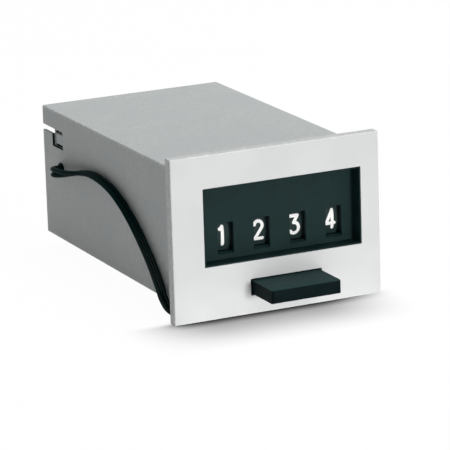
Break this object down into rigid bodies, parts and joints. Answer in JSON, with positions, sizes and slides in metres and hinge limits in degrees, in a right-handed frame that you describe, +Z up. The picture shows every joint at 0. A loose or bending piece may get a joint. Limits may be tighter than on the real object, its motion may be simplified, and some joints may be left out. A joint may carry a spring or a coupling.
{
  "type": "panel counter",
  "caption": "Electromechanical impulse counter for panel mounting: light front plate, recessed number wheels, push reset key, grey sheet housing and flying leads.",
  "frame": {"origin": "middle of the panel seat, the back of the front plate's rim", "axes": "+X to the right seen from the front, +Y to the rear, +Z up"},
  "size_m": [0.0616, 0.104, 0.044],
  "materials": {
    "satin_plate": "satin, light grey",
    "black_moulding": "fine matt moulded black",
    "grey_sheet": "zinc-grey folded sheet",
    "plated_steel": "zinc plated",
    "brass": "plain",
    "lead_rubber": "black insulation",
    "tinned_wire": "tinned",
    "ivory_moulding": "natural moulded",
    "wound_coil": "enamelled winding",
    "wheel_moulding": "matt black with white figures"
  },
  "bodies": {
    "case": {"front_plate": "satin_plate", "display_mask": "black_moulding", "housing": "grey_sheet", "rear_cover": "grey_sheet", "rear_post": "brass", "rear_screw": "plated_steel", "lead_grommet": "lead_rubber", "inner_leads": "lead_rubber", "lead_a": "lead_rubber", "lead_b": "lead_rubber", "lead_tips": "tinned_wire", "left_frame_plate": "plated_steel", "right_frame_plate": "plated_steel", "frame_spacers": "plated_steel", "frame_screws": "plated_steel", "brake_washers": "plated_steel", "reset_spring": "plated_steel", "guide_stud": "plated_steel", "idler_axle": "plated_steel", "yoke": "plated_steel", "coil_core": "plated_steel", "core_screw": "plated_steel", "coil_bobbin": "ivory_moulding", "coil_winding": "wound_coil", "coil_pins": "brass", "armature_pin": "plated_steel", "armature_spring": "plated_steel"},
    "reset": {"reset_key": "black_moulding", "reset_slide": "plated_steel"},
    "idler": {"idler_gear": "ivory_moulding"},
    "shaft": {"wheel_shaft": "plated_steel", "shaft_pinion": "brass", "shaft_clip": "plated_steel"},
    "thousands": {"thousands_wheel": "wheel_moulding", "thousands_pawl": "brass"},
    "hundreds": {"hundreds_wheel": "wheel_moulding", "hundreds_pawl": "brass"},
    "tens": {"tens_wheel": "wheel_moulding", "tens_pawl": "brass"},
    "units": {"units_wheel": "wheel_moulding", "units_pawl": "brass"},
    "armature": {"armature": "plated_steel", "pawl_pin": "plated_steel", "pawl_spring": "brass"},
    "pawl": {"drive_pawl": "plated_steel"}
  },
  "joints": [
    {"name": "key_press", "type": "slide", "parent": "case", "child": "reset", "axis": [0, 1, 0], "range_m": [0, 0.007], "stiffness_N_per_m": 120, "springref_m": -0.012, "deforming": ["reset_spring"]},
    {"name": "idler_turn", "type": "hinge", "parent": "case", "child": "idler", "pos_m": [-0.024, 0.02403, -0.00832], "axis": [1, 0, 0], "range_deg": [-1, 135]},
    {"name": "shaft_turn", "type": "hinge", "parent": "case", "child": "shaft", "pos_m": [0, 0.0152, -0.0016], "axis": [1, 0, 0], "range_deg": [-362, 1]},
    {"name": "thousands_turn", "type": "hinge", "parent": "case", "child": "thousands", "pos_m": [0, 0.0152, -0.0016], "axis": [1, 0, 0], "continuous": true},
    {"name": "hundreds_turn", "type": "hinge", "parent": "case", "child": "hundreds", "pos_m": [0, 0.0152, -0.0016], "axis": [1, 0, 0], "continuous": true},
    {"name": "tens_turn", "type": "hinge", "parent": "case", "child": "tens", "pos_m": [0, 0.0152, -0.0016], "axis": [1, 0, 0], "continuous": true},
    {"name": "units_turn", "type": "hinge", "parent": "case", "child": "units", "pos_m": [0, 0.0152, -0.0016], "axis": [1, 0, 0], "continuous": true},
    {"name": "armature_swing", "type": "hinge", "parent": "case", "child": "armature", "pos_m": [0.0017, 0.0359, 0.01455], "axis": [1, 0, 0], "range_deg": [0, 8], "stiffness_Nm_per_rad": 0.02, "springref_deg": -20.05, "deforming": ["armature_spring"]},
    {"name": "pawl_lift", "type": "hinge", "parent": "armature", "child": "pawl", "pos_m": [0.0017, 0.0359, -0.011], "axis": [1, 0, 0], "range_deg": [0, 10], "stiffness_Nm_per_rad": 0.004, "springref_deg": -17.19, "deforming": ["pawl_spring"]}
  ],
  "couplings": [
    {"joint": "idler_turn", "follows": "key_press", "rad_per_m": 333.33},
    {"joint": "shaft_turn", "follows": "key_press", "rad_per_m": -900}
  ]
}
